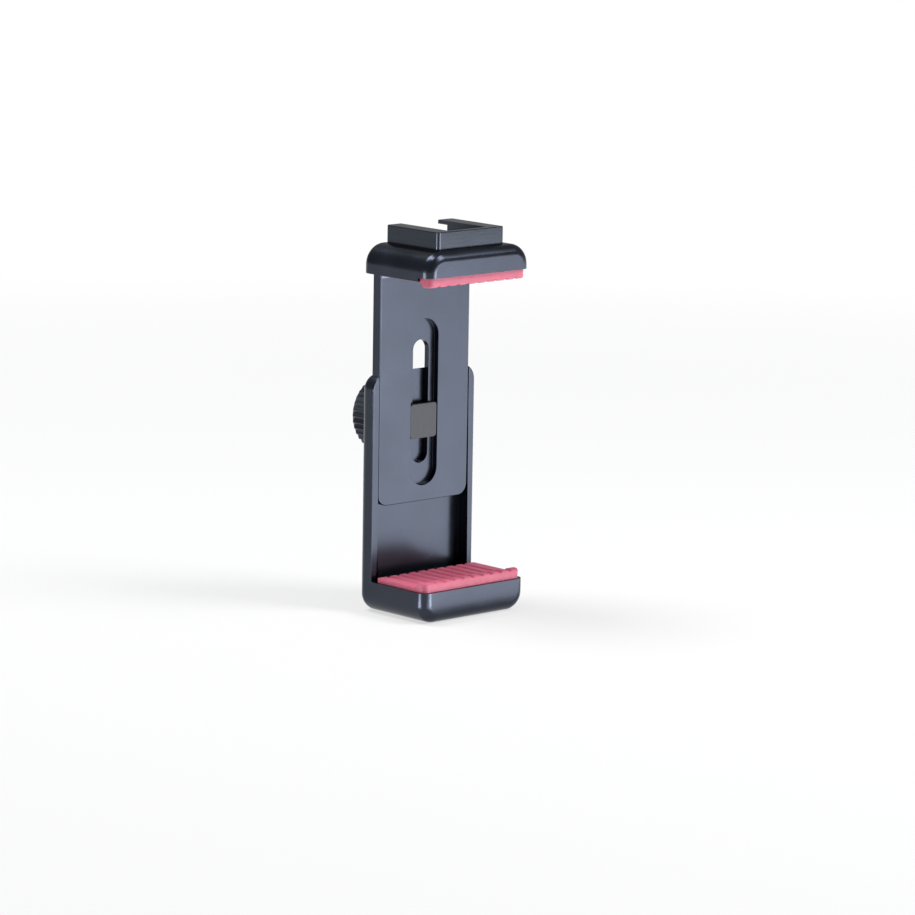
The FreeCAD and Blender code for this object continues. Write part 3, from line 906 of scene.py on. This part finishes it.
def fluted_disc():
    hub_back = KNOB_LOW.y + HUB_LENGTH
    small = KNOB_RADIUS - RIM_CHAMFER
    profile = [(0, hub_back), (small, hub_back), (KNOB_RADIUS, hub_back + RIM_CHAMFER),
               (KNOB_RADIUS, KNOB_HIGH.y - RIM_CHAMFER), (small, KNOB_HIGH.y), (0, KNOB_HIGH.y)]
    bm = turned(profile, Y_AXIS, (0, 0, BOLT_Z), FLUTES * SIDES_PER_FLUTE)
    shoulders = [edge for edge in bm.edges
                 if len(edge.link_faces) == 2 and edge.calc_face_angle(0) > SHARP_ANGLE]
    bevel(bm, shoulders, RIM_ROUND, 3)
    for vert in bm.verts:
        out = Vector((vert.co.x, 0, vert.co.z - BOLT_Z))
        wave = 0.5 - 0.5 * math.cos(FLUTES * math.atan2(out.x, out.z))
        limit = KNOB_RADIUS - FLUTE_DEPTH * wave
        if out.length > limit:
            vert.co -= out * (1 - limit / out.length)
    return bm


def knob():
    bolt_line = (0, 0, BOLT_Z)
    front, hub_end = KNOB_LOW.y, KNOB_LOW.y + HUB_LENGTH + OVERRUN
    hub = turned([(0, front), (HUB_RADIUS - HUB_BREAK, front), (HUB_RADIUS, front + HUB_BREAK),
                  (HUB_RADIUS, hub_end), (0, hub_end)], Y_AXIS, bolt_line)
    bm = combine(fluted_disc(), hub, "UNION")
    tool_end = KNOB_HIGH.y + OVERRUN
    bm = combine(bm, rod(INSERT_HOLE, front - OVERRUN, tool_end, Y_AXIS, bolt_line), "DIFFERENCE")
    return combine(bm, rod(CAP_HOLE, CAP_LOW.y, tool_end, Y_AXIS, bolt_line), "DIFFERENCE")


finish_piece("knob_piece", knob(), "knob", "lock_knob", "knob_aluminium")

# %% [markdown]
# ## Cap, insert, washers and ring
# These are all plain turned pieces on the bolt's axis. Each is a profile of a few points with its
# edges broken, and its places come from the solid pieces. The retaining ring is open at the bottom
# so that it can be sprung onto the bolt.

# %% Turned pieces on the bolt
CAP_DISH = 0.35
SMALL_BREAK = 0.12
BOLT_RADIUS = 2.5
INSERT_BORE = 2.55
WASHER_BORE = 2.6
RING_BORE = 1.85
RING_OPENING = 1.4


def collar(node, bore):
    """A ring as long and as wide as its solid piece, with its four edges broken."""
    low, high = corners_mm(node)
    outer = high.x
    edge = SMALL_BREAK
    profile = [(bore, low.y + edge), (bore + edge, low.y),
               (outer - edge, low.y), (outer, low.y + edge),
               (outer, high.y - edge), (outer - edge, high.y),
               (bore + edge, high.y), (bore, high.y - edge)]
    return turned(profile, Y_AXIS, (0, 0, BOLT_Z))


def knob_cap():
    outer = CAP_HIGH.x
    edge = CAP_DISH
    profile = [(0, CAP_LOW.y), (outer, CAP_LOW.y), (outer, CAP_HIGH.y - SMALL_BREAK),
               (outer - SMALL_BREAK, CAP_HIGH.y), (outer - edge, CAP_HIGH.y),
               (outer - 2 * edge, CAP_HIGH.y - CAP_DISH), (0, CAP_HIGH.y - CAP_DISH)]
    return turned(profile, Y_AXIS, (0, 0, BOLT_Z))


def stop_ring():
    low, high = corners_mm("stop_ring")
    half = RING_OPENING / 2
    opening = block((-half, low.y - OVERRUN, low.z - OVERRUN), (half, high.y + OVERRUN, BOLT_Z))
    return combine(collar("stop_ring", RING_BORE), opening, "DIFFERENCE")


finish_piece("knob_cap_piece", knob_cap(), "knob_cap", "lock_knob", "knob_aluminium")
finish_piece("knob_insert_piece", collar("knob_insert", INSERT_BORE), "knob_insert", "lock_knob",
             "bright_steel")
finish_piece("thrust_washer_piece", collar("thrust_washer", WASHER_BORE), "thrust_washer",
             "knob_washer", "bright_steel")
finish_piece("friction_washer_piece", collar("friction_washer", WASHER_BORE), "friction_washer",
             "lower_clamp", "washer_plastic")
finish_piece("stop_ring_piece", stop_ring(), "stop_ring", "lower_clamp", "black_steel")

# %% [markdown]
# ## The clamping bolt
# The bolt's flat square head runs in the arm's track, where it can't turn. Its shank passes through
# the channel and takes the knob's thread. The head is a block, the shank is turned, and the two are
# joined.

# %% Clamping bolt
HEAD_CORNER = 0.8
HEAD_BREAK = 0.2
HEAD_THICKNESS = 1.3
SHANK_START = 0.5
RING_GROOVE = 1.8
TIP_BREAK = 0.3


def clamp_bolt():
    low, high = corners_mm("clamp_bolt")
    half = high.x
    head_back = low.y + HEAD_THICKNESS
    head = block((-half, low.y, BOLT_Z - half), (half, head_back, BOLT_Z + half))
    uprights = [e for e in head.edges if not near(e.verts[0].co.y, e.verts[1].co.y)]
    bevel(head, uprights, HEAD_CORNER, 2)
    bevel(head, edges_where(head, lambda p: near(p.y, low.y)), HEAD_BREAK, 2)
    ring_low, ring_high = corners_mm("stop_ring")
    start = head_back - SHANK_START
    profile = [(0, start), (BOLT_RADIUS, start), (BOLT_RADIUS, ring_low.y),
               (RING_GROOVE, ring_low.y), (RING_GROOVE, ring_high.y), (BOLT_RADIUS, ring_high.y),
               (BOLT_RADIUS, high.y - TIP_BREAK), (BOLT_RADIUS - TIP_BREAK, high.y), (0, high.y)]
    return combine(head, turned(profile, Y_AXIS, (0, 0, BOLT_Z)), "UNION")


finish_piece("clamp_bolt_piece", clamp_bolt(), "clamp_bolt", "lower_clamp", "black_steel")

# %% [markdown]
# ## The floor
# The clamp stands on a plain white floor that is large enough to fill the picture. The floor is a
# matt surface that shows the clamp's shadow. Where the camera or a mirror-like face looks at it, it
# is mixed with a plain white glow, so that it looks as white as the paper in a photo studio without
# more light on the clamp. Round the clamp the glow leaves room for the shadow, and further out,
# where the lamps hardly reach, it takes over.

# %% Floor
FLOOR_RADIUS = 8.0
NEAR_GLOW = 0.6
SHADOW_ROOM = 0.2
FULL_GLOW_AT = 0.6


def white_floor():
    bm = bmesh.new()
    bmesh.ops.create_circle(bm, cap_ends=True, segments=96, radius=FLOOR_RADIUS)
    mesh = bpy.data.meshes.new("floor")
    bm.to_mesh(mesh)
    bm.free()
    floor = bpy.data.objects.new("floor", mesh)
    bpy.context.scene.collection.objects.link(floor)
    material, tree, place = new_material("white_studio_paper")
    away = add_node(tree, "ShaderNodeVectorMath", {"operation": "LENGTH"}, {0: place})
    glow_share = add_node(tree, "ShaderNodeMapRange", {}, {
        "Value": away.outputs["Value"], "From Min": SHADOW_ROOM, "From Max": FULL_GLOW_AT,
        "To Min": NEAR_GLOW, "To Max": 1.0})
    rays = add_node(tree, "ShaderNodeLightPath", {}, {})
    seen = add_node(tree, "ShaderNodeMath", {"operation": "MAXIMUM"}, {
        0: rays.outputs["Is Camera Ray"], 1: rays.outputs["Is Glossy Ray"]})
    seen = add_node(tree, "ShaderNodeMath", {"operation": "MAXIMUM"}, {
        0: seen.outputs[0], 1: rays.outputs["Is Transmission Ray"]})
    share = add_node(tree, "ShaderNodeMath", {"operation": "MULTIPLY"}, {
        0: seen.outputs[0], 1: glow_share.outputs["Result"]})
    paper = add_node(tree, "ShaderNodeBsdfDiffuse", {}, {"Color": linear("#f8f8f8")})
    glow = add_node(tree, "ShaderNodeEmission", {}, {"Strength": 1.0})
    mix = add_node(tree, "ShaderNodeMixShader", {}, {
        0: share.outputs[0], 1: paper.outputs["BSDF"], 2: glow.outputs["Emission"]})
    add_node(tree, "ShaderNodeOutputMaterial", {}, {"Surface": mix.outputs["Shader"]})
    mesh.materials.append(material)


white_floor()
print("floor radius, m:", FLOOR_RADIUS)

# %% [markdown]
# ## Studio light
# Black gloss shows almost nothing but its surroundings, so the light is placed for what it looks
# like in the metal. Two softboxes, one high at the front right and one behind on the left, light
# everything at a plain level, so that a pale colour shows about as it is written, and draw the
# bright lines along the rounded edges. Glowing cards stand and lie low down beside the clamp, and
# one hangs over it. Upright faces mirror the low ones, so the front turns grey and the corners get
# their bright upright lines, while the left faces stay dark. The high one shows in the corners of
# the upper jaw. The cards are set to be seen by shiny surfaces only, so they don't brighten the
# silicone and the floor.

# %% Lamps and world
LAMP_POWER_PER_AREA = 4.0
MIDDLE = Vector((0, 0, 0.05))
SOFTBOX_DISTANCE = 0.8
CARD_DISTANCE = 0.45
CARD_HEIGHT = 0.0015


def area_lamp(name, size, brightness, matrix):
    """A rectangular lamp whose face looks this bright and shines along its own -Z."""
    lamp = bpy.data.lights.new(name, "AREA")
    lamp.shape = "RECTANGLE"
    lamp.size, lamp.size_y = size
    lamp.energy = brightness * LAMP_POWER_PER_AREA * size[0] * size[1]
    holder = bpy.data.objects.new(name, lamp)
    bpy.context.scene.collection.objects.link(holder)
    holder.visible_camera = False
    holder.matrix_world = matrix
    return holder


def softbox(name, azimuth, elevation, size, brightness):
    """A lamp turned towards the clamp. Azimuth 0 is in front, 90 is to the right."""
    turn, lift = math.radians(azimuth), math.radians(elevation)
    out = Vector((math.sin(turn) * math.cos(lift), -math.cos(turn) * math.cos(lift),
                  math.sin(lift)))
    facing = (-out).to_track_quat("-Z", "Y").to_matrix().to_4x4()
    place = Matrix.Translation(MIDDLE + out * SOFTBOX_DISTANCE)
    return area_lamp(name, size, brightness, place @ facing)


def shiny_only(card):
    """Hides a lamp from matt surfaces, so that only shiny ones mirror it."""
    card.visible_diffuse = False


def floor_card(name, azimuth, middle, size, brightness):
    """A card that lies just over the floor, faces up and is seen by shiny surfaces only."""
    place = Vector((middle[0], middle[1], CARD_HEIGHT))
    facing = Matrix.Rotation(math.radians(azimuth), 4, "Z") @ Matrix.Rotation(math.pi, 4, "X")
    shiny_only(area_lamp(name, size, brightness, Matrix.Translation(place) @ facing))


def upright_card(name, azimuth, size, brightness):
    """A card that stands on the floor, faces the clamp and is seen by shiny surfaces only."""
    turn = math.radians(azimuth)
    out = Vector((math.sin(turn), -math.cos(turn), 0))
    place = out * CARD_DISTANCE + Z_AXIS * (CARD_HEIGHT + size[1] / 2)
    facing = Matrix.Rotation(turn, 4, "Z") @ Matrix.Rotation(math.pi / 2, 4, "X")
    shiny_only(area_lamp(name, size, brightness, Matrix.Translation(place) @ facing))


softbox("front_softbox", 34, 45, (0.3, 0.46), 6.9)
softbox("back_softbox", -150, 64, (0.33, 0.33), 8.0)
shiny_only(softbox("top_card", -78, 77, (0.34, 0.17), 10.0))
floor_card("front_card", 0, (0.29, -0.31), (0.62, 0.58), 2.6)
floor_card("front_near_card", 21, (-0.005, -0.0385), (0.008, 0.032), 10.0)
floor_card("left_near_card", -101, (-0.043, -0.005), (0.008, 0.036), 9.0)
upright_card("front_upright_card", 21, (0.2, 0.07), 11.0)
upright_card("left_upright_card", -101, (0.24, 0.07), 9.0)

WORLD_STRENGTH = 0.3
world = bpy.data.worlds.new("studio")
bpy.context.scene.world = world
world.use_nodes = True
world.node_tree.nodes.clear()
air = add_node(world.node_tree, "ShaderNodeBackground", {}, {
    "Color": linear("#f2f5fa"), "Strength": WORLD_STRENGTH})
add_node(world.node_tree, "ShaderNodeOutputWorld", {}, {"Surface": air.outputs["Background"]})
print("lamps:", len(bpy.data.lights))

# %% [markdown]
# ## The camera
# The camera stands to the left of the clamp and a little above it, with a long lens, as a product
# photographer would use to keep the edges nearly parallel. It is placed by its two angles and its
# distance from a point near the middle of the picture.

# %% Camera
AZIMUTH = math.radians(42.69)
ELEVATION = math.radians(10.17)
ROLL = math.radians(0.93)
DISTANCE = 1.147
LENS = 181.0
SENSOR = 36.0
AIM = Vector((4.4, -0.4, 38.1)) * MM


def photo_camera():
    level = math.cos(ELEVATION)
    forward = Vector((math.sin(AZIMUTH) * level, math.cos(AZIMUTH) * level, -math.sin(ELEVATION)))
    level_right = Vector((math.cos(AZIMUTH), -math.sin(AZIMUTH), 0))
    level_up = level_right.cross(forward)
    right = level_right * math.cos(ROLL) + level_up * math.sin(ROLL)
    up = level_up * math.cos(ROLL) - level_right * math.sin(ROLL)
    data = bpy.data.cameras.new("photo_camera")
    data.lens = LENS
    data.sensor_width = SENSOR
    data.clip_start = 0.01
    camera = bpy.data.objects.new("photo_camera", data)
    bpy.context.scene.collection.objects.link(camera)
    turn = Matrix((right, up, -forward)).transposed().to_4x4()
    camera.matrix_world = Matrix.Translation(AIM - forward * DISTANCE) @ turn
    bpy.context.scene.camera = camera


photo_camera()
bpy.context.scene.view_settings.view_transform = "Standard"
